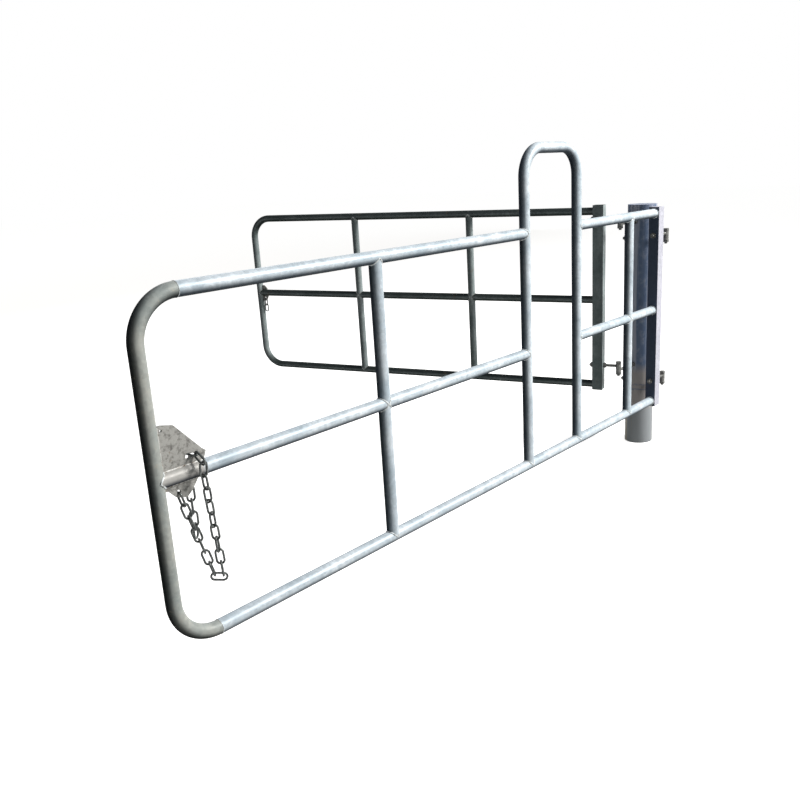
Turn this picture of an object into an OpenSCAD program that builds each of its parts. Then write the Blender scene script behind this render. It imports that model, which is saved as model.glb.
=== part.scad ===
// Pair of galvanised tube gates for cattle, hung on one round steel post.
// The front leaf has a man-pass hoop and stands along -X from the post.
// The rear leaf is lighter and stands open, roughly along +Y.
// Units are millimetres. The origin is the middle of the post's foot, on the
// ground, and +Z is up.

/* [Post] */
// Outside diameter of the post
post_od = 165; // [140:1:200]
// Wall of the post
post_wall = 5; // [3:0.5:10]
// How far the post, with its cap, stands over the front leaf's top rail axis
post_over = 45; // [40:1:400]
// Thickness of the cap on the post, and of the disc that closes its foot
post_cap_thickness = 6; // [4:1:12]

/* [Front leaf] */
// Outside diameter of the front leaf's tubes
front_od = 48.3; // [38:0.1:60]
// Wall of the front leaf's tubes
front_wall = 3.2; // [2:0.1:5]
// Height of the bottom rail's axis above the ground
front_low = 287; // [200:1:380]
// From the bottom rail's axis up to the middle rail's axis
front_mid_rise = 537; // [430:1:660]
// From the bottom rail's axis up to the top rail's axis
front_top_rise = 1078; // [1000:1:1300]
// From the hinge pin to the inner brace
front_inner_brace_at = 450; // [360:1:560]
// From the hinge pin to the man-pass leg nearer the post
man_pass_at = 992; // [800:1:1200]
// From the hinge pin to the outer brace
front_outer_brace_at = 2388; // [1900:1:2700]
// From the hinge pin to the tube at the free end
front_end_at = 3353; // [2900:1:4000]
// Radius of the free end's bends, to the tube's axis
front_bend = 145; // [100:1:180]

/* [Man-pass hoop] */
// Between the axes of the hoop's two legs
man_pass_span = 442; // [380:1:520]
// From the top rail's axis up to the axis of the hoop's top
hoop_rise = 362; // [260:1:450]
// Radius of the hoop's bends, to the tube's axis
hoop_bend = 125; // [80:1:180]

/* [Rear leaf] */
// Outside diameter of the rear leaf's tubes
rear_od = 42.4; // [33:0.1:50]
// Wall of the rear leaf's tubes
rear_wall = 2.9; // [2:0.1:5]
// Height of the bottom rail's axis above the ground
rear_low = 398; // [300:1:450]
// From the bottom rail's axis up to the middle rail's axis
rear_mid_rise = 496; // [400:1:600]
// From the bottom rail's axis up to the top rail's axis
rear_top_rise = 991; // [900:1:1200]
// Between the stile, the braces and the free end, from axis to axis
rear_bay = 785; // [600:1:950]
// Radius of the free end's bends, to the tube's axis
rear_bend = 125; // [90:1:160]
// Direction of the rear leaf, seen from above, counted from +X
rear_heading = 105; // [95:1:120]

/* [Hinge stiles] */
// Side of the square tube that carries the hinge rods
stile_side = 60; // [50:1:70]
// Wall of the square tube
stile_wall = 4; // [3:0.5:6]
// From the hinge pin to the front stile's axis
front_stile_at = 129; // [110:1:150]
// From the hinge pin to the rear stile's axis
rear_stile_at = 118; // [105:1:140]
// How far a stile stands over the top rail's axis
stile_over = 34; // [30:1:60]
// How far a stile reaches under the bottom rail's axis
stile_under = 30; // [28:1:60]

/* [Hinges] */
// Diameter of the threaded rods
rod_d = 16; // [12:1:20]
// Diameter of the hinge pins
pin_d = 16; // [12:1:20]
// Height of the eye at the end of a rod
eye_height = 24; // [18:1:30]
// Metal round the pin in an eye
eye_wall = 7; // [5:1:10]
// From the post's axis to the front pin's axis
front_pin_out = 133.5; // [128:0.5:160]
// Direction of the front pin from the post's axis
front_pin_heading = -69.4; // [-80:0.1:-60]
// From the post's axis to the rear pin's axis
rear_pin_out = 250; // [200:1:300]
// Direction of the rear pin from the post's axis
rear_pin_heading = 178; // [170:1:190]
// Front hinge rods, in from the top and bottom rails' axes
front_hinge_inset = 121; // [90:1:200]
// Rear lower hinge rod, up from the bottom rail's axis
rear_hinge_up = 114; // [90:1:160]
// Rear upper hinge rod, down from the top rail's axis
rear_hinge_down = 45; // [42:1:80]
// Across the flats of the nuts
nut_flats = 27; // [22:1:32]
// Thickness of the nuts
nut_thickness = 14; // [10:1:18]
// Thread that shows past a nut
thread_end = 8; // [4:1:16]
// Diameter of the washers between the nuts and the post
washer_d = 30; // [26:1:36]

/* [Chain plates and chains] */
// Thickness of the plates that hold the chains
plate_thickness = 8; // [5:1:10]
// Diameter of the holes that the chains' last links go through
chain_hole_d = 14; // [12:1:16]
// Diameter of the keyhole's round end
keyhole_d = 18; // [14:1:24]
// Wire of the chain links
link_wire = 7; // [6:0.5:7.5]
// Length inside a link
link_inside = 41.7; // [38:0.1:46]
// Width inside a link
link_gap = 16; // [15:0.5:18]

/* [Clearances] */
// Play of a pin in its eye, on the radius
pin_play = 0.1; // [0.02:0.01:0.1]
// Between the leaf's eye and the post's eye, and under the pin's head
eye_gap = 1; // [0.5:0.1:2]
// Play of a rod in the stile and in the post, on the radius
rod_play = 1; // [0.5:0.1:2]
// Play between two links where one pulls on the other
link_play = 0.7; // [0.3:0.1:1]
// Between a link and the lower edge of the hole that it hangs in, at the middle of its bend
hole_play = 1.3; // [1:0.1:2.5]
// Play of a link in the keyhole's slot, on each side
slot_play = 1.2; // [0.5:0.1:2]
// Thinnest part of the washer between a nut and the post
saddle_washer = 4; // [2:0.5:6]

/* [Hidden] */
$fn = 48;
// Extra length that lets a cutting shape pass right through
through = 1;

// Heights above the ground
front_mid = front_low + front_mid_rise;
front_top = front_low + front_top_rise;
rear_mid = rear_low + rear_mid_rise;
rear_top = rear_low + rear_top_rise;
hoop_top = front_top + hoop_rise;
post_height = front_top + post_over;
front_rod_low = front_low + front_hinge_inset;
front_rod_high = front_top - front_hinge_inset;
rear_rod_low = rear_low + rear_hinge_up;
rear_rod_high = rear_top - rear_hinge_down;

// Places along a leaf, counted from its hinge pin
man_pass_far = man_pass_at + man_pass_span;
rear_inner_brace_at = rear_stile_at + rear_bay;
rear_outer_brace_at = rear_inner_brace_at + rear_bay;
rear_end_at = rear_outer_brace_at + rear_bay;

// The post's eye sits under the leaf's eye
eye_drop = eye_height + eye_gap;
eye_od = pin_d + 2 * pin_play + 2 * eye_wall;

// A chain link's middle line, and how far two pulling links overlap
link_bend = (link_gap + link_wire) / 2;
link_length = link_inside + link_wire;
link_straight = link_length - 2 * link_bend;
link_pitch = link_inside - link_play;
link_overlap = link_wire + link_play;

// Corners of the front chain plate: out from the end tube's axis, up from the middle rail's axis
front_plate_outline = [
    [0, 163], [40, 163], [79, 154], [164, 60], [177, 50], [152, -10],
    [114, -59], [94, -75], [60, -65], [35, -38], [0, -34]
];
// Corners of the rear chain plate, in the same way
rear_plate_outline = [[0, 52], [38, 50], [58, 30], [62, -24], [48, -54], [0, -60]];
// Keyhole: its round end, and the far end of its slot
keyhole = [112, 50];
keyhole_to = 149.5;
// Hole that the chain is fixed in, and a small drain hole
fixed_hole = [68, -50];
drain_hole = [37, 148];
drain_hole_d = 8;
// Hole that the rear chain hangs in, under the middle rail
rear_hang_hole = [40, -36];

// The link that lies level in the keyhole's slot: how far behind the plate's middle, and its middle
slot_link_back = 5;
slot_link = [keyhole_to - slot_play - link_bend - link_wire / 2, -slot_link_back, keyhole[1]];
// The hanging chain: links in its two strands, and the slopes of its first links and its lowest link
front_strand_links = 8;
rear_strand_links = 7;
first_link_slope = 30;
second_link_lean = 6;
lowest_link_slope = 12;
// The chain's free end behind the plate: its straight links, the slope of the link that leads down to
// them, and the twist over the straight links
tail_links = 5;
tail_slope = 70;
tail_twist = -60;
// Links that hang from the rear plate
rear_chain_links = 2;

// ---- Tubes ----

module ring(od, wall) {
    difference() {
        circle(d = od);
        circle(d = od - 2 * wall);
    }
}

// Tube along the leaf, between two distances from the pin
module tube_along(from, to, z, od, wall) {
    translate([from, 0, z]) rotate([0, 90, 0]) linear_extrude(to - from) ring(od, wall);
}

// Upright tube at a distance from the pin
module tube_up(at, low, high, od, wall) {
    translate([at, 0, low]) linear_extrude(high - low) ring(od, wall);
}

// The room that another tube takes, for coped ends
module bar_along(from, to, z, od) {
    translate([from, 0, z]) rotate([0, 90, 0]) cylinder(d = od, h = to - from);
}

module bar_up(at, low, high, od) {
    translate([at, 0, low]) cylinder(d = od, h = high - low);
}

// Quarter bend in the leaf's plane that turns from the leaf's end towards the top
module bend_up(at, z, radius, od, wall) {
    translate([at, 0, z]) rotate([90, 0, 0]) rotate_extrude(angle = 90) translate([radius, 0]) ring(od, wall);
}

// Quarter bend that turns from the bottom towards the leaf's end
module bend_down(at, z, radius, od, wall) {
    translate([at, 0, z]) rotate([90, 90, 0]) rotate_extrude(angle = 90) translate([radius, 0]) ring(od, wall);
}

// Quarter bend that turns from the top towards the pin
module bend_back(at, z, radius, od, wall) {
    translate([at, 0, z]) rotate([90, -90, 0]) rotate_extrude(angle = 90) translate([radius, 0]) ring(od, wall);
}

// Free end of a leaf: an upright with a bend at the top and the bottom
module end_tube(at, low, high, radius, od, wall) {
    tube_up(at, low + radius, high - radius, od, wall);
    bend_up(at - radius, high - radius, radius, od, wall);
    bend_down(at - radius, low + radius, radius, od, wall);
}

// Rail between two uprights, with both ends coped to them
module coped_rail(from, to, z, od, wall) {
    difference() {
        tube_along(from, to, z, od, wall);
        bar_up(from, z - od, z + od, od);
        bar_up(to, z - od, z + od, od);
    }
}

// Upright between the bottom and the top rail, with both ends coped to them
module coped_brace(at, low, high, od, wall) {
    difference() {
        tube_up(at, low, high, od, wall);
        bar_along(at - od, at + od, low, od);
        bar_along(at - od, at + od, high, od);
    }
}

// ---- Places ----

module at_front_pin() {
    rotate([0, 0, front_pin_heading]) translate([front_pin_out, 0, 0])
        rotate([0, 0, 180 - front_pin_heading]) children();
}

module at_rear_pin() {
    rotate([0, 0, rear_pin_heading]) translate([rear_pin_out, 0, 0])
        rotate([0, 0, rear_heading - rear_pin_heading]) children();
}

// ---- Hinges ----

module nut() {
    linear_extrude(nut_thickness) circle(d = nut_flats / cos(30), $fn = 6);
}

// Threaded rod along +X from the eye, with a nut at each given distance
module eye_rod(length, nuts) {
    difference() {
        union() {
            rotate([0, 90, 0]) cylinder(d = rod_d, h = length);
            translate([0, 0, -eye_height / 2]) cylinder(d = eye_od, h = eye_height);
            for (at = nuts) translate([at, 0, 0]) rotate([0, 90, 0]) nut();
        }
        translate([0, 0, -eye_height / 2 - through])
            cylinder(r = pin_d / 2 + pin_play, h = eye_height + 2 * through);
    }
}

// Rod of a leaf, through its stile
module leaf_rod(stile_at, z) {
    near = stile_at - stile_side / 2 - nut_thickness;
    far = stile_at + stile_side / 2;
    translate([0, 0, z]) eye_rod(far + nut_thickness + thread_end, [near, far]);
}

// Rod of the post, right through it, with its eye under the leaf's eye
module post_rod(out, heading, z) {
    near = out - post_od / 2;
    far = out + post_od / 2;
    rotate([0, 0, heading]) translate([out, 0, z - eye_drop]) rotate([0, 0, 180]) {
        eye_rod(
            far + saddle_washer + nut_thickness + thread_end,
            [near - saddle_washer - nut_thickness, far + saddle_washer]
        );
        difference() {
            translate([near - saddle_washer, 0, 0]) rotate([0, 90, 0])
                cylinder(d = washer_d, h = post_od + 2 * saddle_washer);
            translate([out, 0, -post_od]) cylinder(d = post_od, h = 2 * post_od, $fn = 96);
        }
    }
}

module hinge_pin(out, heading, z) {
    shank_low = z - eye_height / 2 - eye_drop;
    head_low = z + eye_height / 2 + eye_gap;
    rotate([0, 0, heading]) translate([out, 0, 0]) {
        translate([0, 0, shank_low - nut_thickness - thread_end])
            cylinder(d = pin_d, h = head_low + nut_thickness - shank_low + nut_thickness + thread_end);
        translate([0, 0, shank_low - nut_thickness]) nut();
        translate([0, 0, head_low]) nut();
    }
}

// ---- Stiles ----

module stile(at, low, high, rods) {
    bore = stile_side - 2 * stile_wall;
    difference() {
        translate([at - stile_side / 2, -stile_side / 2, low]) cube([stile_side, stile_side, high - low]);
        translate([at - bore / 2, -bore / 2, low - through]) cube([bore, bore, high - low - stile_wall + through]);
        for (z = rods) bar_along(at - stile_side, at + stile_side, z, rod_d + 2 * rod_play);
    }
}

// ---- Chain plates and chains ----

module plate_blank(outline) {
    rotate([90, 0, 0]) translate([0, 0, -plate_thickness / 2]) linear_extrude(plate_thickness) polygon(outline);
}

module plate_hole(spot, d) {
    translate([spot[0], 0, spot[1]]) rotate([90, 0, 0]) translate([0, 0, -plate_thickness])
        cylinder(d = d, h = 2 * plate_thickness);
}

// Places on a plate are counted out from the end tube, back towards the post
module at_plate(end_at, mid) {
    translate([end_at, 0, mid]) mirror([1, 0, 0]) children();
}

function unit(v) = v / norm(v);

// Across a direction, turned about it; with no turn it lies along the leaf's normal
function side_of(along, turn) =
    let (base = unit([0, 1, 0] - along[1] * along))
    cos(turn) * base + sin(turn) * cross(along, base);

// A link's ring about a centre, with its length along one direction and its width along another
module link_at(centre, along, side) {
    up = cross(along, side);
    multmatrix([
        [along[0], side[0], up[0], centre[0]],
        [along[1], side[1], up[1], centre[1]],
        [along[2], side[2], up[2], centre[2]],
        [0, 0, 0, 1]
    ]) for (turn = [0, 180]) rotate([0, 0, turn]) {
        translate([link_straight / 2, 0, 0]) rotate([0, 0, -90]) rotate_extrude(angle = 180, $fn = 32)
            translate([link_bend, 0]) circle(d = link_wire, $fn = 16);
        translate([-link_straight / 2, link_bend, 0]) rotate([0, 90, 0])
            cylinder(d = link_wire, h = link_straight, $fn = 16);
    }
}

// A straight strand of links, each a quarter turn from the last, with a twist over the whole strand
module strand(from, along, count, twist) {
    for (i = [0 : count - 1])
        link_at(from + (i + 0.5) * link_pitch * along, along, side_of(along, 90 * i + twist * i / (count - 1)));
}

// ---- Pieces of the post ----

module post_tube() {
    bore = post_od - 2 * post_wall;
    color([0.36, 0.42, 0.46]) difference() {
        cylinder(d = post_od, h = post_height - post_cap_thickness, $fn = 96);
        translate([0, 0, post_cap_thickness]) cylinder(d = bore, h = post_height, $fn = 96);
        for (z = [front_rod_low, front_rod_high]) post_rod_hole(front_pin_heading, z);
        for (z = [rear_rod_low, rear_rod_high]) post_rod_hole(rear_pin_heading, z);
    }
}

module post_rod_hole(heading, z) {
    rotate([0, 0, heading]) translate([-post_od, 0, z - eye_drop]) rotate([0, 90, 0])
        cylinder(r = rod_d / 2 + rod_play, h = 2 * post_od);
}

module post_cap() {
    color([0.30, 0.34, 0.37]) translate([0, 0, post_height - post_cap_thickness])
        cylinder(d = post_od, h = post_cap_thickness, $fn = 96);
}

module post_rod_front_lower() {
    color([0.25, 0.26, 0.27]) post_rod(front_pin_out, front_pin_heading, front_rod_low);
}

module post_rod_front_upper() {
    color([0.25, 0.26, 0.27]) post_rod(front_pin_out, front_pin_heading, front_rod_high);
}

module post_rod_rear_lower() {
    color([0.25, 0.26, 0.27]) post_rod(rear_pin_out, rear_pin_heading, rear_rod_low);
}

module post_rod_rear_upper() {
    color([0.25, 0.26, 0.27]) post_rod(rear_pin_out, rear_pin_heading, rear_rod_high);
}

module pin_front_lower() {
    color([0.22, 0.22, 0.23]) hinge_pin(front_pin_out, front_pin_heading, front_rod_low);
}

module pin_front_upper() {
    color([0.22, 0.22, 0.23]) hinge_pin(front_pin_out, front_pin_heading, front_rod_high);
}

module pin_rear_lower() {
    color([0.22, 0.22, 0.23]) hinge_pin(rear_pin_out, rear_pin_heading, rear_rod_low);
}

module pin_rear_upper() {
    color([0.22, 0.22, 0.23]) hinge_pin(rear_pin_out, rear_pin_heading, rear_rod_high);
}

// ---- Pieces of the front leaf ----

module front_stile() {
    color([0.72, 0.75, 0.78]) at_front_pin()
        stile(front_stile_at, front_low - stile_under, front_top + stile_over, [front_rod_low, front_rod_high]);
}

module front_bottom_rail() {
    color([0.70, 0.74, 0.77]) at_front_pin()
        tube_along(front_stile_at + stile_side / 2, front_end_at - front_bend, front_low, front_od, front_wall);
}

module front_top_rail_outer() {
    color([0.66, 0.70, 0.73]) at_front_pin() difference() {
        tube_along(man_pass_far, front_end_at - front_bend, front_top, front_od, front_wall);
        bar_up(man_pass_far, front_top - front_od, front_top + front_od, front_od);
    }
}

module front_top_rail_inner() {
    color([0.66, 0.70, 0.73]) at_front_pin() difference() {
        tube_along(front_stile_at + stile_side / 2, man_pass_at, front_top, front_od, front_wall);
        bar_up(man_pass_at, front_top - front_od, front_top + front_od, front_od);
    }
}

module front_end_tube() {
    color([0.50, 0.54, 0.56]) at_front_pin()
        end_tube(front_end_at, front_low, front_top, front_bend, front_od, front_wall);
}

module front_mid_rail_outer() {
    color([0.70, 0.74, 0.77]) at_front_pin() difference() {
        coped_rail(front_outer_brace_at, front_end_at, front_mid, front_od, front_wall);
        at_plate(front_end_at, front_mid) plate_blank(front_plate_outline);
    }
}

module front_mid_rail_middle() {
    color([0.70, 0.74, 0.77]) at_front_pin()
        coped_rail(man_pass_far, front_outer_brace_at, front_mid, front_od, front_wall);
}

module front_mid_rail_inner() {
    color([0.70, 0.74, 0.77]) at_front_pin()
        coped_rail(front_inner_brace_at, man_pass_at, front_mid, front_od, front_wall);
}

module front_mid_rail_hinge() {
    color([0.70, 0.74, 0.77]) at_front_pin() difference() {
        tube_along(front_stile_at + stile_side / 2, front_inner_brace_at, front_mid, front_od, front_wall);
        bar_up(front_inner_brace_at, front_mid - front_od, front_mid + front_od, front_od);
    }
}

module front_brace_outer() {
    color([0.42, 0.46, 0.48]) at_front_pin()
        coped_brace(front_outer_brace_at, front_low, front_top, front_od, front_wall);
}

module front_brace_inner() {
    color([0.42, 0.46, 0.48]) at_front_pin()
        coped_brace(front_inner_brace_at, front_low, front_top, front_od, front_wall);
}

module man_pass_hoop() {
    spring = hoop_top - hoop_bend;
    color([0.40, 0.45, 0.48]) at_front_pin() difference() {
        union() {
            tube_up(man_pass_at, front_low, spring, front_od, front_wall);
            tube_up(man_pass_far, front_low, spring, front_od, front_wall);
            bend_back(man_pass_at + hoop_bend, spring, hoop_bend, front_od, front_wall);
            bend_up(man_pass_far - hoop_bend, spring, hoop_bend, front_od, front_wall);
            tube_along(man_pass_at + hoop_bend, man_pass_far - hoop_bend, hoop_top, front_od, front_wall);
        }
        bar_along(man_pass_at - front_od, man_pass_far + front_od, front_low, front_od);
    }
}

module front_chain_plate() {
    slot = link_wire + 2 * slot_play;
    color([0.60, 0.61, 0.60]) at_front_pin() difference() {
        at_plate(front_end_at, front_mid) difference() {
            plate_blank(front_plate_outline);
            plate_hole(fixed_hole, chain_hole_d);
            plate_hole(drain_hole, drain_hole_d);
            plate_hole(keyhole, keyhole_d);
            translate([keyhole[0], -plate_thickness, keyhole[1] - slot / 2])
                cube([keyhole_to - keyhole[0], 2 * plate_thickness, slot]);
        }
        bar_up(front_end_at, front_low, front_top, front_od);
    }
}

// The chain from the keyhole, over the middle rail, down to its lowest link and up to the fixed hole
module front_chain() {
    out = [0, 1, 0];
    slope = [0, cos(first_link_slope), -sin(first_link_slope)];
    slope_side = [0, sin(first_link_slope), cos(first_link_slope)];
    down = [0, -sin(second_link_lean), -cos(second_link_lean)];
    sloped_link = slot_link + link_length / 2 * out + (link_length / 2 - link_overlap) * slope;
    second_link = sloped_link + (link_length / 2 - link_overlap) * slope + link_length / 2 * down;
    front_start = second_link + link_pitch / 2 * down;
    rear_start = [fixed_hole[0], 0, fixed_hole[1] - chain_hole_d / 2 + hole_play];
    // The two strands and the lowest link lie in one upright plane
    apart = rear_start - front_start;
    level = unit([apart[0], apart[1], 0]);
    lowest_along = cos(lowest_link_slope) * level + [0, 0, sin(lowest_link_slope)];
    front_reach = front_strand_links * link_pitch + link_overlap / 2;
    rear_reach = rear_strand_links * link_pitch + link_overlap / 2;
    base = apart - link_straight * lowest_along;
    base_along = unit(base);
    plane_normal = unit(cross(level, [0, 0, 1]));
    base_down = cross(plane_normal, base_along);
    shift = (pow(front_reach, 2) - pow(rear_reach, 2) + pow(norm(base), 2)) / (2 * norm(base));
    drop = sqrt(pow(front_reach, 2) - pow(shift, 2));
    front_end = front_start + shift * base_along + drop * sign(-base_down[2]) * base_down;
    rear_end = front_end + link_straight * lowest_along;
    lowest_up = cross(plane_normal, lowest_along);
    lowest = (front_end + rear_end) / 2
        - (link_bend - link_overlap) * sign(lowest_up[2]) * lowest_up;
    color([0.30, 0.30, 0.30]) at_front_pin() at_plate(front_end_at, front_mid) {
        link_at(slot_link, out, [1, 0, 0]);
        link_at(sloped_link, slope, slope_side);
        link_at(second_link, down, [1, 0, 0]);
        strand(front_start, unit(front_end - front_start), front_strand_links, front_twist(plane_normal));
        link_at(lowest, lowest_along, unit(cross(plane_normal, lowest_along)));
        strand(rear_start, unit(rear_end - rear_start), rear_strand_links, rear_twist(plane_normal));
    }
}

// The twists that bring each strand's last link square to the lowest link
function front_twist(normal) = 90 - plane_turn(normal);
function rear_twist(normal) = -plane_turn(normal);
function plane_turn(normal) = atan2(abs(normal[0]), abs(normal[1]));

// The chain's free end, behind the plate and the middle rail
module front_chain_tail() {
    slope = [0, -cos(tail_slope), -sin(tail_slope)];
    slope_side = [0, sin(tail_slope), -cos(tail_slope)];
    down = [0, 0, -1];
    sloped_link = slot_link - [0, link_length / 2, 0] + (link_length / 2 - link_overlap) * slope;
    second_link = sloped_link + (link_length / 2 - link_overlap) * slope + link_length / 2 * down;
    color([0.30, 0.30, 0.30]) at_front_pin() at_plate(front_end_at, front_mid) {
        link_at(sloped_link, slope, slope_side);
        link_at(second_link, down, [1, 0, 0]);
        strand(second_link + link_pitch / 2 * down, down, tail_links, tail_twist);
    }
}

module front_rod_lower() {
    color([0.25, 0.26, 0.27]) at_front_pin() leaf_rod(front_stile_at, front_rod_low);
}

module front_rod_upper() {
    color([0.25, 0.26, 0.27]) at_front_pin() leaf_rod(front_stile_at, front_rod_high);
}

// ---- Pieces of the rear leaf ----

module rear_stile() {
    color([0.42, 0.48, 0.50]) at_rear_pin()
        stile(rear_stile_at, rear_low - stile_under, rear_top + stile_over, [rear_rod_low, rear_rod_high]);
}

module rear_bottom_rail() {
    color([0.45, 0.48, 0.48]) at_rear_pin()
        tube_along(rear_stile_at + stile_side / 2, rear_end_at - rear_bend, rear_low, rear_od, rear_wall);
}

module rear_top_rail() {
    color([0.45, 0.48, 0.48]) at_rear_pin()
        tube_along(rear_stile_at + stile_side / 2, rear_end_at - rear_bend, rear_top, rear_od, rear_wall);
}

module rear_end_tube() {
    color([0.45, 0.48, 0.48]) at_rear_pin()
        end_tube(rear_end_at, rear_low, rear_top, rear_bend, rear_od, rear_wall);
}

module rear_mid_rail_outer() {
    color([0.45, 0.48, 0.48]) at_rear_pin() difference() {
        coped_rail(rear_outer_brace_at, rear_end_at, rear_mid, rear_od, rear_wall);
        at_plate(rear_end_at, rear_mid) plate_blank(rear_plate_outline);
    }
}

module rear_mid_rail_middle() {
    color([0.45, 0.48, 0.48]) at_rear_pin()
        coped_rail(rear_inner_brace_at, rear_outer_brace_at, rear_mid, rear_od, rear_wall);
}

module rear_mid_rail_inner() {
    color([0.45, 0.48, 0.48]) at_rear_pin() difference() {
        tube_along(rear_stile_at + stile_side / 2, rear_inner_brace_at, rear_mid, rear_od, rear_wall);
        bar_up(rear_inner_brace_at, rear_mid - rear_od, rear_mid + rear_od, rear_od);
    }
}

module rear_brace_outer() {
    color([0.42, 0.45, 0.46]) at_rear_pin()
        coped_brace(rear_outer_brace_at, rear_low, rear_top, rear_od, rear_wall);
}

module rear_brace_inner() {
    color([0.42, 0.45, 0.46]) at_rear_pin()
        coped_brace(rear_inner_brace_at, rear_low, rear_top, rear_od, rear_wall);
}

module rear_chain_plate() {
    color([0.55, 0.56, 0.55]) at_rear_pin() difference() {
        at_plate(rear_end_at, rear_mid) difference() {
            plate_blank(rear_plate_outline);
            plate_hole(rear_hang_hole, chain_hole_d);
        }
        bar_up(rear_end_at, rear_low, rear_top, rear_od);
    }
}

module rear_chain() {
    top = [rear_hang_hole[0], 0, rear_hang_hole[1] - chain_hole_d / 2 + hole_play];
    color([0.30, 0.30, 0.30]) at_rear_pin() at_plate(rear_end_at, rear_mid)
        strand(top, [0, 0, -1], rear_chain_links, 0);
}

module rear_rod_lower() {
    color([0.25, 0.26, 0.27]) at_rear_pin() leaf_rod(rear_stile_at, rear_rod_low);
}

module rear_rod_upper() {
    color([0.25, 0.26, 0.27]) at_rear_pin() leaf_rod(rear_stile_at, rear_rod_high);
}

post_tube();
post_cap();
post_rod_front_lower();
post_rod_front_upper();
post_rod_rear_lower();
post_rod_rear_upper();
pin_front_lower();
pin_front_upper();
pin_rear_lower();
pin_rear_upper();
front_stile();
front_bottom_rail();
front_top_rail_outer();
front_top_rail_inner();
front_end_tube();
front_mid_rail_outer();
front_mid_rail_middle();
front_mid_rail_inner();
front_mid_rail_hinge();
front_brace_outer();
front_brace_inner();
man_pass_hoop();
front_chain_plate();
front_chain();
front_chain_tail();
front_rod_lower();
front_rod_upper();
rear_stile();
rear_bottom_rail();
rear_top_rail();
rear_end_tube();
rear_mid_rail_outer();
rear_mid_rail_middle();
rear_mid_rail_inner();
rear_brace_outer();
rear_brace_inner();
rear_chain_plate();
rear_chain();
rear_rod_lower();
rear_rod_upper();
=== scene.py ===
# A pair of galvanised cattle gates on one round steel post: a front leaf with a man-pass hoop,
# and a lighter rear leaf that stands open. Metres, +Z up, the post's foot at the origin.
import math

import bmesh
import bpy
from mathutils import Matrix, Vector, noise


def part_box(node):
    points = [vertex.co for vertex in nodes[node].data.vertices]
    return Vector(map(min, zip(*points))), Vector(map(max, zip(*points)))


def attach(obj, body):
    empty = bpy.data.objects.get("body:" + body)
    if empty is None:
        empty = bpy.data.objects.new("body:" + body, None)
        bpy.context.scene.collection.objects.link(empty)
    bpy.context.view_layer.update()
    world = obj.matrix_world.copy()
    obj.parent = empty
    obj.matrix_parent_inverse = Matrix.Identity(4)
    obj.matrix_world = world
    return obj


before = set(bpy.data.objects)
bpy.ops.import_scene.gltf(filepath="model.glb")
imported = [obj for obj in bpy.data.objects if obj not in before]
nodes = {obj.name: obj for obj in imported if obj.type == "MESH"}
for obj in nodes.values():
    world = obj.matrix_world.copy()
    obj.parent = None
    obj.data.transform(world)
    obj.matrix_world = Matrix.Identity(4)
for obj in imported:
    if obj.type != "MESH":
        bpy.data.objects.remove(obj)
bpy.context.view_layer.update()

# ---- Camera ----
# A wide view from a person's eye level, in front of the free end of the front leaf, looking along
# the leaf towards the post. The view leans a little to the left.
EYE = Vector((-4.4986, -2.2247, 1.6620))
EYE_HEADING = math.radians(-49.78)
EYE_TILT = math.radians(-15.69)
EYE_LEAN = math.radians(-2.745)

ahead = Vector((
    -math.sin(EYE_HEADING) * math.cos(EYE_TILT),
    math.cos(EYE_HEADING) * math.cos(EYE_TILT),
    math.sin(EYE_TILT),
))
level = Vector((math.cos(EYE_HEADING), math.sin(EYE_HEADING), 0))
over = level.cross(ahead)
right = level * math.cos(EYE_LEAN) + over * math.sin(EYE_LEAN)
up = over * math.cos(EYE_LEAN) - level * math.sin(EYE_LEAN)

lens = bpy.data.cameras.new("eye")
lens.lens = 37.53
lens.sensor_width = 36
lens.shift_x = -0.0507
lens.shift_y = 0.0027
lens.clip_start = 0.05
lens.clip_end = 100
camera = bpy.data.objects.new("eye", lens)
camera.matrix_world = Matrix.Translation(EYE) @ Matrix((right, up, -ahead)).transposed().to_4x4()
bpy.context.scene.collection.objects.link(camera)
bpy.context.scene.camera = camera


# ---- Studio ----
# A floor that looks white but throws little light back, and a white room. One broad lamp stands high
# on the right and a weaker one behind. Dark cloths far out on the left and behind keep the left side
# of every tube dark.
def shader_node(material, kind, inputs=None, **settings):
    made = material.node_tree.nodes.new(kind)
    for key, value in settings.items():
        setattr(made, key, value)
    for key, value in (inputs or {}).items():
        if isinstance(value, bpy.types.NodeSocket):
            material.node_tree.links.new(value, made.inputs[key])
        else:
            made.inputs[key].default_value = value
    return made


def new_material(name):
    material = bpy.data.materials.new(name)
    material.use_nodes = True
    material.node_tree.nodes.clear()
    return material


def flat_panel(name, corners, material):
    mesh = bpy.data.meshes.new(name)
    mesh.from_pydata(corners, [], [tuple(range(len(corners)))])
    mesh.materials.append(material)
    panel = bpy.data.objects.new(name, mesh)
    bpy.context.scene.collection.objects.link(panel)
    return panel


scene = bpy.context.scene
scene.view_settings.view_transform = "Standard"

world = bpy.data.worlds.new("room")
world.use_nodes = True
world.node_tree.nodes.clear()
scene.world = world
path = shader_node(world, "ShaderNodeLightPath")
seen = shader_node(world, "ShaderNodeMath", {
    0: path.outputs["Is Camera Ray"], 1: path.outputs["Is Glossy Ray"]}, operation="MAXIMUM")
seen = shader_node(world, "ShaderNodeMath", {
    0: seen.outputs[0], 1: path.outputs["Is Transmission Ray"]}, operation="MAXIMUM")
white = shader_node(world, "ShaderNodeBackground", {"Color": (1, 1, 1, 1), "Strength": 1.0})
ambient = shader_node(world, "ShaderNodeBackground", {"Color": (0.84, 0.91, 1, 1), "Strength": 0.26})
room = shader_node(world, "ShaderNodeMixShader", {
    0: seen.outputs[0], 1: ambient.outputs[0], 2: white.outputs[0]})
shader_node(world, "ShaderNodeOutputWorld", {"Surface": room.outputs[0]})

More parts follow.
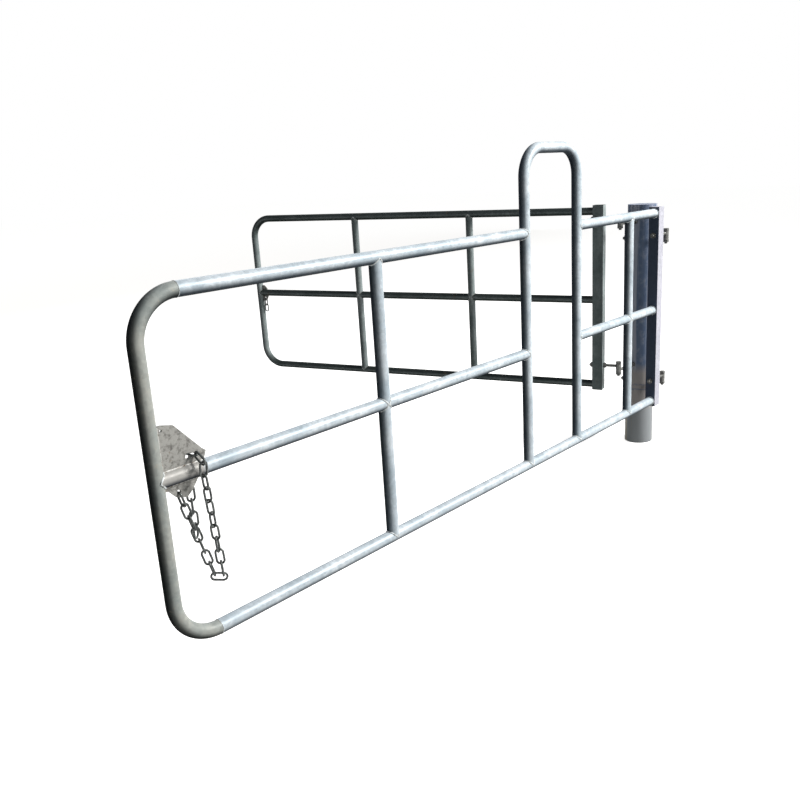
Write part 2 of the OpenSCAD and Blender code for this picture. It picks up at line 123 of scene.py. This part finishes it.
floor_paint = new_material("floor_paint")
path = shader_node(floor_paint, "ShaderNodeLightPath")
seen = shader_node(floor_paint, "ShaderNodeMath", {
    0: path.outputs["Is Camera Ray"], 1: path.outputs["Is Glossy Ray"]}, operation="MAXIMUM")
seen = shader_node(floor_paint, "ShaderNodeMath", {
    0: seen.outputs[0], 1: path.outputs["Is Transmission Ray"]}, operation="MAXIMUM")
paint = shader_node(floor_paint, "ShaderNodeBsdfDiffuse", {"Color": (0.90, 0.90, 0.90, 1)})
lift = shader_node(floor_paint, "ShaderNodeEmission", {"Color": (1, 0.98, 0.95, 1), "Strength": 0.80})
both = shader_node(floor_paint, "ShaderNodeAddShader", {0: paint.outputs[0], 1: lift.outputs[0]})
earth = shader_node(floor_paint, "ShaderNodeBsdfDiffuse", {"Color": (0.22, 0.22, 0.20, 1)})
pale = shader_node(floor_paint, "ShaderNodeMixShader", {
    0: seen.outputs[0], 1: earth.outputs[0], 2: both.outputs[0]})
shader_node(floor_paint, "ShaderNodeOutputMaterial", {"Surface": pale.outputs[0]})
FLOOR_REACH = 40
FLOOR_Z = -0.0005
floor_corners = [(x * FLOOR_REACH, y * FLOOR_REACH, FLOOR_Z) for x, y in ((-1, -1), (1, -1), (1, 1), (-1, 1))]
flat_panel("floor", floor_corners, floor_paint)

dark_cloth = new_material("dark_cloth")
cloth = shader_node(dark_cloth, "ShaderNodeBsdfDiffuse", {"Color": (0.02, 0.025, 0.03, 1)})
shader_node(dark_cloth, "ShaderNodeOutputMaterial", {"Surface": cloth.outputs[0]})
CLOTH_HEIGHT = 6
for name, start, end in (("dark_cloth_left", (-9, -3), (-9, 10)), ("dark_cloth_behind", (-9, 10), (14, 10))):
    corners = [(*start, 0), (*end, 0), (*end, CLOTH_HEIGHT), (*start, CLOTH_HEIGHT)]
    cloth_panel = flat_panel(name, corners, dark_cloth)
    cloth_panel.visible_camera = False
    cloth_panel.visible_shadow = False


def soft_lamp(name, place, target, size, power, colour):
    lamp = bpy.data.lights.new(name, "AREA")
    lamp.size = size
    lamp.energy = power
    lamp.color = colour
    made = bpy.data.objects.new(name, lamp)
    made.location = place
    made.rotation_euler = (Vector(target) - Vector(place)).to_track_quat("-Z", "Y").to_euler()
    scene.collection.objects.link(made)
    return made


GATE_MIDDLE = (-1.6, 0.4, 0.8)
soft_lamp("key", (2.6, -5.4, 5.4), GATE_MIDDLE, 2.6, 1150, (1.0, 0.985, 0.96))
soft_lamp("back", (1.5, 6.5, 4.0), GATE_MIDDLE, 4.0, 110, (0.93, 0.96, 1.0))


# ---- Front leaf: tubes ----
# Round steel tubes, 48 mm across, dipped in zinc after welding. The zinc shows its crystals, has run
# and dulled in the rain, and is stained where water stands.
def ramp(material, factor, stops):
    made = shader_node(material, "ShaderNodeValToRGB", {"Fac": factor})
    points = made.color_ramp.elements
    while len(points) < len(stops):
        points.new(0.5)
    for point, (position, colour) in zip(points, stops):
        point.position = position
        point.color = colour if len(colour) == 4 else (*colour, 1)
    return made.outputs["Color"]


def grey(value):
    return (value, value, value)


def blend_colours(material, factor, first, second, how="MIX"):
    made = shader_node(material, "ShaderNodeMix", data_type="RGBA", blend_type=how)
    for socket, value in ((made.inputs[0], factor), (made.inputs[6], first), (made.inputs[7], second)):
        if isinstance(value, bpy.types.NodeSocket):
            material.node_tree.links.new(value, socket)
        else:
            socket.default_value = value if not isinstance(value, tuple) else (*value, 1)[:4]
    return made.outputs[2]


def facing(material, direction, low, high, most):
    """How far a surface faces one way, as a grey from 0 to most."""
    coordinates = shader_node(material, "ShaderNodeTexCoord")
    towards = shader_node(material, "ShaderNodeVectorMath", {
        0: coordinates.outputs["Normal"], 1: Vector(direction).normalized()}, operation="DOT_PRODUCT")
    return ramp(material, towards.outputs["Value"], [(low, grey(0)), (high, grey(most))])


ZINC_SHEEN = 0.18
# How dark the painted side darkening and the painted underside shade get, and how rough the zinc is there.
SIDE_DARKENING = 0.90
UNDER_SHADE = 0.85
DARKENED_ROUGHNESS = 0.85
SCORCH_FADE = 0.02
SCORCHED = (0.36, 0.33, 0.29)
RUST_STAIN = (0.24, 0.17, 0.10)


def zinc(name, bright, dull, darkened_colour, stain, metallic, low_gloss, darker_side, stain_from, scorched_to=None):
    """Weathered zinc: bright and dull patches, brown stains, a painted darkening on one side and painted
    shade underneath.

    scorched_to is where a dull brown zone ends that starts at the leaf's free end.
    """
    material = new_material(name)
    place = shader_node(material, "ShaderNodeTexCoord").outputs["Object"]
    cells = shader_node(material, "ShaderNodeTexVoronoi", {"Vector": place, "Scale": 85})
    cell_tone = shader_node(material, "ShaderNodeRGBToBW", {"Color": cells.outputs["Color"]}).outputs[0]
    patches = shader_node(material, "ShaderNodeTexNoise", {
        "Vector": place, "Scale": 7.0, "Detail": 8.0, "Roughness": 0.62}).outputs["Fac"]
    squeezed = shader_node(material, "ShaderNodeMapping", {"Vector": place, "Scale": (46, 46, 5)})
    runs = shader_node(material, "ShaderNodeTexNoise", {
        "Vector": squeezed.outputs[0], "Scale": 1.0, "Detail": 5.0, "Roughness": 0.6}).outputs["Fac"]
    body = blend_colours(material, ramp(material, patches, [(0.36, grey(0)), (0.66, grey(1))]), dull, bright)
    body = blend_colours(material, ramp(material, runs, [(0.42, grey(0)), (0.70, grey(0.55))]), body, dull)
    tone = ramp(material, cell_tone, [(0.2, grey(0.84)), (0.8, grey(1.0))])
    body = blend_colours(material, 1.0, body, tone, "MULTIPLY")
    if scorched_to is not None:
        along = shader_node(material, "ShaderNodeSeparateXYZ", {0: place}).outputs["X"]
        scorch = shader_node(material, "ShaderNodeMapRange", {
            "Value": along, "From Min": scorched_to - SCORCH_FADE, "From Max": scorched_to,
            "To Min": 0.75, "To Max": 0.0})
        body = blend_colours(material, scorch.outputs[0], body, SCORCHED)
    # Painted darkening towards one side: painted shade on the front leaf's left-facing sides, darker tops on
    # the rear leaf's rails.
    side_darkening = facing(material, darker_side, 0.0, 0.75, SIDE_DARKENING)
    # Painted shade on the undersides: darker the more a surface faces down.
    under_shade = facing(material, (0, 0, -1), -0.20, 0.60, UNDER_SHADE)
    body = blend_colours(material, side_darkening, body, darkened_colour)
    body = blend_colours(material, under_shade, body, darkened_colour)
    spots = shader_node(material, "ShaderNodeTexNoise", {
        "Vector": place, "Scale": 23.0, "Detail": 9.0, "Roughness": 0.72}).outputs["Fac"]
    stains = ramp(material, spots, [(stain_from, grey(0)), (stain_from + 0.1, grey(0.6))])
    colour = blend_colours(material, stains, body, stain)
    gloss = ramp(material, cell_tone, [(0.1, grey(low_gloss)), (0.9, grey(low_gloss + 0.16))])
    gloss = blend_colours(material, side_darkening, gloss, grey(DARKENED_ROUGHNESS))
    gloss = blend_colours(material, under_shade, gloss, grey(DARKENED_ROUGHNESS))
    grain = shader_node(material, "ShaderNodeTexNoise", {
        "Vector": place, "Scale": 420.0, "Detail": 3.0}).outputs["Fac"]
    drips = shader_node(material, "ShaderNodeMath", {0: runs, 1: 0.9}, operation="MULTIPLY").outputs[0]
    height = shader_node(material, "ShaderNodeMath", {0: grain, 1: drips}, operation="ADD").outputs[0]
    bump = shader_node(material, "ShaderNodeBump", {"Height": height, "Strength": 0.22, "Distance": 0.0012})
    # Where the painted darkening and the painted shade lie, the zinc also loses its metal and its sheen.
    darkened_zone = shader_node(material, "ShaderNodeMath", {0: side_darkening, 1: under_shade}, operation="MAXIMUM")
    undarkened = shader_node(material, "ShaderNodeMath", {0: 1.0, 1: darkened_zone.outputs[0]}, operation="SUBTRACT")
    sheen = shader_node(material, "ShaderNodeMath", {
        0: undarkened.outputs[0], 1: ZINC_SHEEN}, operation="MULTIPLY")
    metal = shader_node(material, "ShaderNodeMath", {0: undarkened.outputs[0], 1: metallic}, operation="MULTIPLY")
    surface = shader_node(material, "ShaderNodeBsdfPrincipled", {
        "Base Color": colour, "Roughness": gloss, "Metallic": metal.outputs[0],
        "Specular IOR Level": sheen.outputs[0], "Normal": bump.outputs[0]})
    shader_node(material, "ShaderNodeOutputMaterial", {"Surface": surface.outputs[0]})
    return material


def finish_nodes(names, material):
    for name in names:
        slots = nodes[name].data.materials
        slots.clear()
        slots.append(material)


# Painted shade: the front leaf's rails, stile and end tube are painted dark on the sides that face left, away
# from the key lamp.
UPRIGHT_SHADED_SIDE = (-0.75, 0.66, 0)
END_SHADED_SIDE = (-0.90, 0.43, 0)
PLATE_RAIL_SCORCHED_TO = -3.14
rail_look = dict(
    bright=(0.68, 0.73, 0.77), dull=(0.38, 0.45, 0.50), darkened_colour=(0.030, 0.040, 0.058), stain=RUST_STAIN,
    metallic=0.14, low_gloss=0.38, darker_side=UPRIGHT_SHADED_SIDE, stain_from=0.66)
front_zinc = zinc("front_zinc", **rail_look)
plate_rail_zinc = zinc("plate_rail_zinc", **rail_look, scorched_to=PLATE_RAIL_SCORCHED_TO)
stile_zinc = zinc(
    "stile_zinc", bright=(0.50, 0.50, 0.56), dull=(0.40, 0.40, 0.46), darkened_colour=(0.045, 0.065, 0.110),
    stain=RUST_STAIN, metallic=0.10, low_gloss=0.45, darker_side=UPRIGHT_SHADED_SIDE, stain_from=0.66)
end_zinc = zinc(
    "end_zinc", bright=(0.44, 0.44, 0.40), dull=(0.28, 0.31, 0.30), darkened_colour=(0.010, 0.013, 0.016),
    stain=(0.44, 0.38, 0.30), metallic=0.10, low_gloss=0.42, darker_side=END_SHADED_SIDE, stain_from=0.60)
finish_nodes([
    "front_bottom_rail", "front_top_rail_outer", "front_top_rail_inner",
    "front_mid_rail_middle", "front_mid_rail_inner", "front_mid_rail_hinge",
    "front_brace_outer", "front_brace_inner", "man_pass_hoop"], front_zinc)
finish_nodes(["front_mid_rail_outer"], plate_rail_zinc)
finish_nodes(["front_end_tube"], end_zinc)
finish_nodes(["front_stile"], stile_zinc)


# ---- Front leaf: welds ----
# Every tube is coped to the one that it meets and welded all round by hand. The bead is a row of
# overlapping ripples, a little brighter than the tube where the zinc lies thick.
def tube_mesh(name, path, radius_at, sides=10, closed=True):
    mesh = bpy.data.meshes.new(name)
    work = bmesh.new()
    count = len(path)
    rings = []
    for i, point in enumerate(path):
        before = path[i - 1] if closed or i else path[i]
        after = path[(i + 1) % count] if closed or i + 1 < count else path[i]
        along = (after - before).normalized()
        side = along.orthogonal().normalized() if i == 0 else (side - along * side.dot(along)).normalized()
        lift = along.cross(side)
        radius = radius_at(i)
        rings.append([
            work.verts.new(point + (side * math.cos(turn) + lift * math.sin(turn)) * radius)
            for turn in (2 * math.pi * k / sides for k in range(sides))])
    for i in range(count if closed else count - 1):
        a, b = rings[i], rings[(i + 1) % count]
        offset = 0
        if closed and i == count - 1:
            offset = min(range(sides), key=lambda k: (a[0].co - b[k].co).length)
        for k in range(sides):
            work.faces.new((a[k], a[(k + 1) % sides], b[(k + 1 + offset) % sides], b[(k + offset) % sides]))
    if not closed:
        work.faces.new(reversed(rings[0]))
        work.faces.new(rings[-1])
    bmesh.ops.recalc_face_normals(work, faces=work.faces)
    work.to_mesh(mesh)
    work.free()
    mesh.polygons.foreach_set("use_smooth", [True] * len(mesh.polygons))
    return mesh


def add_piece(name, mesh, material, body):
    mesh.materials.append(material)
    piece = bpy.data.objects.new(name, mesh)
    scene.collection.objects.link(piece)
    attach(piece, body)
    return piece


def bead_radius(size, length, count, seed):
    """Ripples about 4 mm apart along a bead, each a little different."""
    ripples = max(8, round(length / 0.004))

    def radius(i):
        wave = 0.5 + 0.5 * math.cos(2 * math.pi * ripples * i / count)
        uneven = noise.noise(Vector((i * 0.11, seed * 3.7, 0.5)))
        return size * (0.86 + 0.16 * wave + 0.20 * uneven)

    return radius


def saddle_weld(name, middle, branch, through, tube_radius, material, body, size=0.0036):
    """Bead where a tube that runs along branch meets a tube of the same size that runs along through."""
    count = 220
    across = branch.cross(through)
    path = []
    for i in range(count):
        turn = 2 * math.pi * i / count
        reach = math.sqrt(math.cos(turn) ** 2 + 0.012)
        round_through = through * math.cos(turn) + across * math.sin(turn)
        path.append(middle + (branch * reach + round_through) * tube_radius)
    length = 2 * math.pi * tube_radius * 1.22
    seed = sum(ord(letter) for letter in name) % 97
    mesh = tube_mesh(name, path, bead_radius(size, length, count, seed))
    return add_piece(name, mesh, material, body)


def ring_weld(name, middle, along, tube_radius, material, body, size=0.0034):
    """Bead round the end of a tube that stands square on a flat face, or round a butt joint."""
    count = 200
    side = along.orthogonal().normalized()
    lift = along.cross(side)
    path = [middle + (side * math.cos(turn) + lift * math.sin(turn)) * tube_radius
            for turn in (2 * math.pi * i / count for i in range(count))]
    seed = sum(ord(letter) for letter in name) % 89
    mesh = tube_mesh(name, path, bead_radius(size, 2 * math.pi * tube_radius, count, seed))
    return add_piece(name, mesh, material, body)


def line_weld(name, start, end, material, body, size=0.0032):
    """Straight bead between two points."""
    length = (end - start).length
    count = max(12, round(length / 0.0013))
    path = [start.lerp(end, i / (count - 1)) for i in range(count)]
    seed = sum(ord(letter) for letter in name) % 83
    mesh = tube_mesh(name, path, bead_radius(size, length, count, seed), 8, False)
    return add_piece(name, mesh, material, body)


def bead_zinc(name, bright, dark):
    material = new_material(name)
    place = shader_node(material, "ShaderNodeTexCoord").outputs["Object"]
    patches = shader_node(material, "ShaderNodeTexNoise", {
        "Vector": place, "Scale": 95.0, "Detail": 6.0, "Roughness": 0.65}).outputs["Fac"]
    colour = ramp(material, patches, [(0.38, dark), (0.56, bright)])
    gloss = ramp(material, patches, [(0.3, grey(0.55)), (0.7, grey(0.32))])
    bump = shader_node(material, "ShaderNodeBump", {"Height": patches, "Strength": 0.4, "Distance": 0.002})
    surface = shader_node(material, "ShaderNodeBsdfPrincipled", {
        "Base Color": colour, "Roughness": gloss, "Metallic": 0.2, "Normal": bump.outputs[0]})
    shader_node(material, "ShaderNodeOutputMaterial", {"Surface": surface.outputs[0]})
    return material


def middle_of(name, axis):
    low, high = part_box(name)
    return (low[axis] + high[axis]) / 2


FRONT_RADIUS = 0.02415
front_bead = bead_zinc("front_bead", (0.66, 0.69, 0.70), (0.24, 0.25, 0.24))
X, Z = Vector((1, 0, 0)), Vector((0, 0, 1))
leaf_y = middle_of("front_bottom_rail", 1)
bottom_z = middle_of("front_bottom_rail", 2)
mid_z = middle_of("front_mid_rail_middle", 2)
top_z = middle_of("front_top_rail_outer", 2)
brace_x = {name: middle_of(name, 0) for name in ("front_brace_outer", "front_brace_inner")}
hoop_low, hoop_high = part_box("man_pass_hoop")
leg_x = {"outer": hoop_low.x + FRONT_RADIUS, "inner": hoop_high.x - FRONT_RADIUS}
end_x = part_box("front_end_tube")[0].x + FRONT_RADIUS
stile_face_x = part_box("front_stile")[0].x


def front_weld(name, x, z, branch, through):
    middle = Vector((x, leaf_y, z))
    saddle_weld(name, middle, branch, through, FRONT_RADIUS, front_bead, "front_leaf")


for name, x in brace_x.items():
    front_weld("weld_low_" + name, x, bottom_z, Z, X)
    front_weld("weld_high_" + name, x, top_z, -Z, X)
    front_weld("weld_out_" + name, x, mid_z, -X, Z)
    front_weld("weld_in_" + name, x, mid_z, X, Z)
for name, x in leg_x.items():
    front_weld("weld_low_hoop_" + name, x, bottom_z, Z, X)
front_weld("weld_mid_hoop_outer", leg_x["outer"], mid_z, -X, Z)
front_weld("weld_mid_hoop_inner", leg_x["inner"], mid_z, X, Z)
front_weld("weld_top_hoop_outer", leg_x["outer"], top_z, -X, Z)
front_weld("weld_top_hoop_inner", leg_x["inner"], top_z, X, Z)
front_weld("weld_mid_front_end", end_x, mid_z, X, Z)
for name, z in (("low", bottom_z), ("mid", mid_z), ("top", top_z)):
    ring_weld("weld_stile_" + name, Vector((stile_face_x, leaf_y, z)), X, FRONT_RADIUS, front_bead,
              "front_leaf")
BUTT_BEAD = 0.0012
bend_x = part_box("front_bottom_rail")[0].x
for name, z in (("low", bottom_z), ("top", top_z)):
    ring_weld("weld_bend_" + name, Vector((bend_x, leaf_y, z)), X, FRONT_RADIUS, front_bead,
              "front_leaf", BUTT_BEAD)


# ---- Front leaf: chain plate ----
# An 8 mm plate, cut by hand, let into a slot in the middle rail and welded to the end tube. The dip
# has left it rough, with thick grey runs and rust along the weld.
def rough_plate(name, pale, dark, rust):
    material = new_material(name)
    place = shader_node(material, "ShaderNodeTexCoord").outputs["Object"]
    lumps = shader_node(material, "ShaderNodeTexNoise", {
        "Vector": place, "Scale": 55.0, "Detail": 10.0, "Roughness": 0.68}).outputs["Fac"]
    specks = shader_node(material, "ShaderNodeTexVoronoi", {
        "Vector": place, "Scale": 190.0}).outputs["Distance"]
    body = ramp(material, lumps, [(0.34, dark), (0.52, pale), (0.75, pale)])
    pits = ramp(material, specks, [(0.05, grey(0.45)), (0.22, grey(0))])
    body = blend_colours(material, pits, body, dark)
    rusty = shader_node(material, "ShaderNodeTexNoise", {
        "Vector": place, "Scale": 38.0, "Detail": 8.0, "Roughness": 0.7}).outputs["Fac"]
    rust_places = ramp(material, rusty, [(0.62, grey(0)), (0.70, grey(0.8))])
    colour = blend_colours(material, rust_places, body, rust)
    gloss = ramp(material, lumps, [(0.3, grey(0.72)), (0.7, grey(0.45))])
    bump = shader_node(material, "ShaderNodeBump", {"Height": lumps, "Strength": 0.55, "Distance": 0.004})
    surface = shader_node(material, "ShaderNodeBsdfPrincipled", {
        "Base Color": colour, "Roughness": gloss, "Metallic": 0.1, "Specular IOR Level": 0.3,
        "Normal": bump.outputs[0]})
    shader_node(material, "ShaderNodeOutputMaterial", {"Surface": surface.outputs[0]})
    return material


plate_zinc = rough_plate("plate_zinc", (0.34, 0.335, 0.315), (0.13, 0.125, 0.115), (0.20, 0.12, 0.06))
finish_nodes(["front_chain_plate", "rear_chain_plate"], plate_zinc)

plate_bead = bead_zinc("plate_bead", (0.52, 0.52, 0.50), (0.16, 0.12, 0.08))
PLATE_HALF = 0.004
BEAD_OFF_PLATE = 0.001
edge_of_round = math.sqrt(FRONT_RADIUS ** 2 - PLATE_HALF ** 2)
for side, word in ((-1, "near"), (1, "far")):
    y = leaf_y + side * (PLATE_HALF + BEAD_OFF_PLATE)
    for name, start, end in (
            ("rail_top", (0.027, edge_of_round), (0.164, edge_of_round)),
            ("rail_under", (0.027, -edge_of_round), (0.143, -edge_of_round)),
            ("tube_over", (edge_of_round, 0.030), (edge_of_round, 0.160)),
            ("tube_under", (edge_of_round, -0.034), (edge_of_round, -0.027))):
        line_weld("weld_plate_%s_%s" % (name, word), Vector((end_x + start[0], y, mid_z + start[1])),
                  Vector((end_x + end[0], y, mid_z + end[1])), plate_bead, "front_leaf")


# ---- Chains ----
# Welded chain of 7 mm wire, zinc plated and gone dark, worn bright where the links rub. The front one
# is held in a hole and in the keyhole's slot of its plate.
def dark_steel(name, dark, worn, metallic, low_gloss):
    material = new_material(name)
    place = shader_node(material, "ShaderNodeTexCoord").outputs["Object"]
    wear = shader_node(material, "ShaderNodeTexNoise", {
        "Vector": place, "Scale": 120.0, "Detail": 6.0, "Roughness": 0.6}).outputs["Fac"]
    edges = shader_node(material, "ShaderNodeNewGeometry").outputs["Pointiness"]
    rubbed = ramp(material, edges, [(0.50, grey(0)), (0.60, grey(0.35))])
    body = ramp(material, wear, [(0.42, dark), (0.72, worn)])
    colour = blend_colours(material, rubbed, body, worn)
    gloss = ramp(material, wear, [(0.3, grey(low_gloss + 0.2)), (0.7, grey(low_gloss))])
    bump = shader_node(material, "ShaderNodeBump", {"Height": wear, "Strength": 0.3, "Distance": 0.001})
    surface = shader_node(material, "ShaderNodeBsdfPrincipled", {
        "Base Color": colour, "Roughness": gloss, "Metallic": metallic, "Normal": bump.outputs[0]})
    shader_node(material, "ShaderNodeOutputMaterial", {"Surface": surface.outputs[0]})
    return material


chain_steel = dark_steel("chain_steel", (0.025, 0.030, 0.030), (0.16, 0.17, 0.165), 0.45, 0.30)
finish_nodes(["front_chain", "front_chain_tail", "rear_chain"], chain_steel)


# ---- Rear leaf ----
# The lighter leaf, of 42 mm tube coped and welded like the front one, but older and duller,
# painted darker on top of its rails and with painted shade underneath.
# Direction of the rear leaf's painted darkening: mostly upward, so the tops of its rails are dark.
REAR_DARKER_SIDE = (-0.3, 0.2, 0.93)
rear_zinc = zinc(
    "rear_zinc", bright=(0.38, 0.43, 0.43), dull=(0.20, 0.24, 0.24), darkened_colour=(0.022, 0.030, 0.028),
    stain=(0.20, 0.15, 0.09), metallic=0.12, low_gloss=0.40, darker_side=REAR_DARKER_SIDE, stain_from=0.60)
finish_nodes([
    "rear_stile", "rear_bottom_rail", "rear_top_rail", "rear_end_tube", "rear_mid_rail_outer",
    "rear_mid_rail_middle", "rear_mid_rail_inner", "rear_brace_outer", "rear_brace_inner"], rear_zinc)

REAR_RADIUS = 0.0212
rear_bead = bead_zinc("rear_bead", (0.34, 0.36, 0.36), (0.12, 0.13, 0.12))
REAR_PIN = Vector((-0.2498477, 0.0087249, 0))
REAR_END_AT = 2.473
REAR_STILE_FACE_AT = 0.148
REAR_SADDLE_BEAD = 0.0032
REAR_RING_BEAD = 0.0030
REAR_HEADING = math.radians(105)
rear_out = Vector((math.cos(REAR_HEADING), math.sin(REAR_HEADING), 0))
rear_low_z = middle_of("rear_bottom_rail", 2)
rear_mid_z = middle_of("rear_mid_rail_middle", 2)
rear_top_z = middle_of("rear_top_rail", 2)
for name in ("rear_brace_outer", "rear_brace_inner"):
    foot = Vector((middle_of(name, 0), middle_of(name, 1), 0))
    for word, z, branch, through in (
            ("low", rear_low_z, Z, rear_out), ("high", rear_top_z, -Z, rear_out),
            ("out", rear_mid_z, rear_out, Z), ("in", rear_mid_z, -rear_out, Z)):
        saddle_weld("weld_%s_%s" % (word, name), foot + Z * z, branch, through, REAR_RADIUS, rear_bead,
                    "rear_leaf", REAR_SADDLE_BEAD)
end_middle = REAR_PIN + rear_out * REAR_END_AT + Z * rear_mid_z
saddle_weld("weld_mid_rear_end", end_middle, -rear_out, Z, REAR_RADIUS, rear_bead, "rear_leaf",
            REAR_SADDLE_BEAD)
for word, z in (("low", rear_low_z), ("mid", rear_mid_z), ("top", rear_top_z)):
    middle = REAR_PIN + rear_out * REAR_STILE_FACE_AT + Z * z
    ring_weld("weld_rear_stile_" + word, middle, rear_out, REAR_RADIUS, rear_bead, "rear_leaf",
              REAR_RING_BEAD)


# ---- Hinges ----
# Threaded rods with eyes, nuts and washers, and a bolt for a pin: zinc plated, dull, dirty in the
# roots. Each rod goes right through its stile or the post, with a nut on both sides.
bolt_zinc = dark_steel("bolt_zinc", (0.035, 0.036, 0.034), (0.22, 0.22, 0.21), 0.45, 0.34)
finish_nodes([name for name in nodes if "rod_" in name or name.startswith("pin_")], bolt_zinc)


THREAD_STEP = 0.0005
THREAD_ROOT = 0.0081
THREAD_DEPTH = 0.0006


def thread(name, eye, along, start, end, body):
    """Ridges of the thread, four steps apart, on a rod between two distances from the eye's middle."""
    count = round((end - start) / THREAD_STEP)
    path = [eye + along * (start + (end - start) * i / (count - 1)) for i in range(count)]
    mesh = tube_mesh(name, path, lambda i: THREAD_ROOT + THREAD_DEPTH * abs((i % 4) - 2) / 2, 20, False)
    return add_piece(name, mesh, bolt_zinc, body)


FRONT_PIN = Vector((0.0469705, -0.1249645, 0))
EYE_DROP = 0.025
PAST_EYE = 0.016
NUT = 0.014
WASHER = 0.004
STILE_HALF = 0.030
POST_RADIUS = 0.0825
SHOWN_END = 0.0078
for leaf, pin, out, stile_at, heights in (
        ("front", FRONT_PIN, -X, 0.129, (0.408, 1.244)),
        ("rear", REAR_PIN, rear_out, 0.118, (0.512, 1.344))):
    inward = -pin.normalized()
    past_nut = stile_at + STILE_HALF + NUT
    post_past = pin.length + POST_RADIUS + WASHER + NUT
    for word, z in zip(("lower", "upper"), heights):
        eye = pin + Z * z
        post_eye = eye - Z * EYE_DROP
        for name, start_eye, along, start, end, body in (
                ("thread_%s_%s", eye, out, PAST_EYE, stile_at - STILE_HALF - NUT, leaf + "_leaf"),
                ("thread_end_%s_%s", eye, out, past_nut, past_nut + SHOWN_END, leaf + "_leaf"),
                ("thread_post_%s_%s", post_eye, inward, PAST_EYE,
                 pin.length - POST_RADIUS - WASHER - NUT, "post"),
                ("thread_post_end_%s_%s", post_eye, inward, post_past, post_past + SHOWN_END, "post")):
            thread(name % (leaf, word), start_eye, along, start, end, body)


# ---- Post ----
# A round steel post 165 mm across with a flat cap welded on, set in the ground. It has weathered to
# slate blue, brown and streaked low down.
def post_paint(name, slate, band, brown, foot, ochre):
    """Slate blue in long bands, brown where the lower hinge sheds rust, paler grey at the foot."""
    material = new_material(name)
    place = shader_node(material, "ShaderNodeTexCoord").outputs["Object"]
    squeezed = shader_node(material, "ShaderNodeMapping", {"Vector": place, "Scale": (34, 34, 0.7)})
    bands = shader_node(material, "ShaderNodeTexNoise", {
        "Vector": squeezed.outputs[0], "Scale": 1.0, "Detail": 3.0, "Roughness": 0.55}).outputs["Fac"]
    body = blend_colours(material, ramp(material, bands, [(0.47, grey(0)), (0.60, grey(1))]), slate, band)
    mottle = shader_node(material, "ShaderNodeTexNoise", {
        "Vector": place, "Scale": 26.0, "Detail": 8.0, "Roughness": 0.66}).outputs["Fac"]
    body = blend_colours(material, ramp(material, mottle, [(0.5, grey(0)), (0.75, grey(0.45))]), body, band)
    height = shader_node(material, "ShaderNodeSeparateXYZ", {0: place}).outputs["Z"]
    wavy = shader_node(material, "ShaderNodeMath", {0: mottle, 1: 0.05}, operation="MULTIPLY").outputs[0]
    height = shader_node(material, "ShaderNodeMath", {0: height, 1: wavy}, operation="ADD").outputs[0]
    low = ramp(material, height, [(0.46, grey(0.85)), (0.52, grey(0))])
    body = blend_colours(material, low, body, brown)
    at_foot = ramp(material, height, [(0.23, grey(0.9)), (0.27, grey(0))])
    body = blend_colours(material, at_foot, body, foot)
    # Two thin wavy slate lines round the post, a little below the front leaf's lower hinge.
    slate_lines = ramp(material, height, [
        (0.355, grey(0)), (0.362, grey(0.8)), (0.369, grey(0)), (0.385, grey(0)), (0.391, grey(0.6)),
        (0.397, grey(0))])
    body = blend_colours(material, slate_lines, body, slate)
    streaks = ramp(material, bands, [(0.56, grey(0)), (0.62, grey(0.7))])
    streaks = blend_colours(material, 1.0, streaks, at_foot, "MULTIPLY")
    colour = blend_colours(material, streaks, body, ochre)
    bump = shader_node(material, "ShaderNodeBump", {"Height": mottle, "Strength": 0.25, "Distance": 0.002})
    surface = shader_node(material, "ShaderNodeBsdfPrincipled", {
        "Base Color": colour, "Roughness": 0.5, "Metallic": 0.1, "Specular IOR Level": 0.3,
        "Normal": bump.outputs[0]})
    shader_node(material, "ShaderNodeOutputMaterial", {"Surface": surface.outputs[0]})
    return material


post_zinc = post_paint(
    "post_zinc", slate=(0.095, 0.135, 0.215), band=(0.38, 0.39, 0.46), brown=(0.32, 0.29, 0.27),
    foot=(0.24, 0.26, 0.275), ochre=(0.34, 0.26, 0.14))
finish_nodes(["post_tube", "post_cap"], post_zinc)
